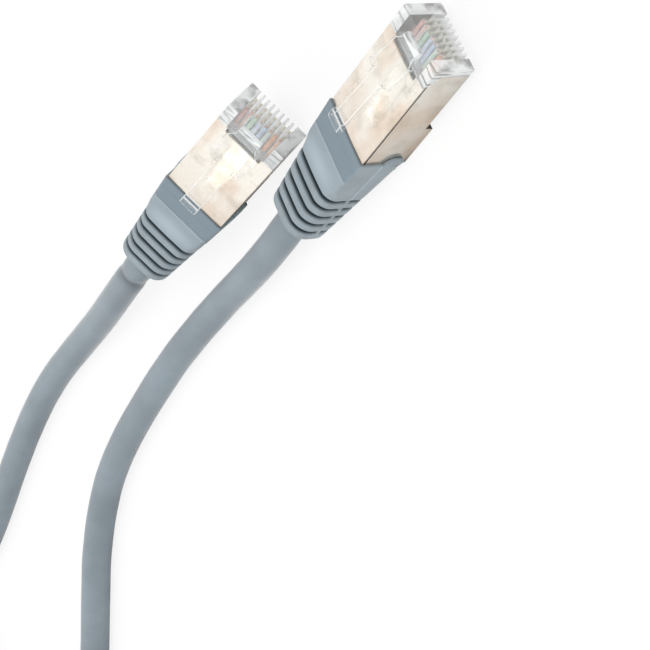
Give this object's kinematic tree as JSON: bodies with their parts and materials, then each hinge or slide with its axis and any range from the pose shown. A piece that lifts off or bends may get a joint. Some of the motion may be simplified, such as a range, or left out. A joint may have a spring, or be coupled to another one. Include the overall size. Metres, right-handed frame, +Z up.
{
  "type": "ethernet patch cable",
  "caption": "Shielded ethernet patch cable with clear latching plugs, folded metal shields and grooved moulded boots; the spare length is coiled and tied.",
  "frame": {"origin": "middle of the box around the two plugs and their boots, on the floor they lie on", "axes": "-Y is the way the straight plug (b) points; +Z up, the latch side of that plug; +X to its right seen from behind the plug"},
  "size_m": [0.069, 0.2733, 0.014],
  "materials": {
    "clear_plastic": "clear, moulded",
    "clear_latch": "clear, moulded",
    "clear_spacer": "clear, moulded",
    "gold_contact": "gold plated",
    "plated_steel": "bright nickel plated",
    "boot_plastic": "fine satin, moulded",
    "cable_jacket": "satin, extruded",
    "foil": "thin bright foil",
    "tinned_copper": "tinned",
    "wire_white_orange": "satin",
    "wire_orange": "satin",
    "wire_white_green": "satin",
    "wire_blue": "satin",
    "wire_white_blue": "satin",
    "wire_green": "satin",
    "wire_white_brown": "satin",
    "wire_brown": "satin",
    "bare_copper": "bare drawn copper",
    "tie_band": "woven loop band"
  },
  "bodies": {
    "cable": {"housing_a": "clear_plastic", "contacts_a": "gold_contact", "wire_spacer_a": "clear_spacer", "shield_a": "plated_steel", "boot_a": "boot_plastic", "jacket_end_a": "cable_jacket", "foil_wrap_a": "foil", "drain_wire_a": "tinned_copper", "wire_white_orange_a": "wire_white_orange", "wire_orange_a": "wire_orange", "wire_white_green_a": "wire_white_green", "wire_blue_a": "wire_blue", "wire_white_blue_a": "wire_white_blue", "wire_green_a": "wire_green", "wire_white_brown_a": "wire_white_brown", "wire_brown_a": "wire_brown", "copper_cores_a": "bare_copper", "housing_b": "clear_plastic", "contacts_b": "gold_contact", "wire_spacer_b": "clear_spacer", "shield_b": "plated_steel", "boot_b": "boot_plastic", "jacket_end_b": "cable_jacket", "foil_wrap_b": "foil", "drain_wire_b": "tinned_copper", "wire_white_orange_b": "wire_white_orange", "wire_orange_b": "wire_orange", "wire_white_green_b": "wire_white_green", "wire_blue_b": "wire_blue", "wire_white_blue_b": "wire_white_blue", "wire_green_b": "wire_green", "wire_white_brown_b": "wire_white_brown", "wire_brown_b": "wire_brown", "copper_cores_b": "bare_copper", "cable_lead_a": "cable_jacket", "cable_lead_b": "cable_jacket", "cable_coil": "cable_jacket", "coil_tie": "tie_band"},
    "latch_of_plug_a": {"latch_a": "clear_latch"},
    "latch_of_plug_b": {"latch_b": "clear_latch"}
  },
  "joints": [
    {"name": "latch_a_press", "type": "hinge", "parent": "cable", "child": "latch_of_plug_a", "pos_m": [0.00389, -0.00071, 0.00984], "axis": [-0.8425, 0.0678, -0.5344], "range_deg": [0, 8], "stiffness_Nm_per_rad": 0.02},
    {"name": "latch_b_press", "type": "hinge", "parent": "cable", "child": "latch_of_plug_b", "pos_m": [-0.0086, -0.0399, 0.0082], "axis": [-1, 0, 0], "range_deg": [0, 8], "stiffness_Nm_per_rad": 0.02}
  ]
}
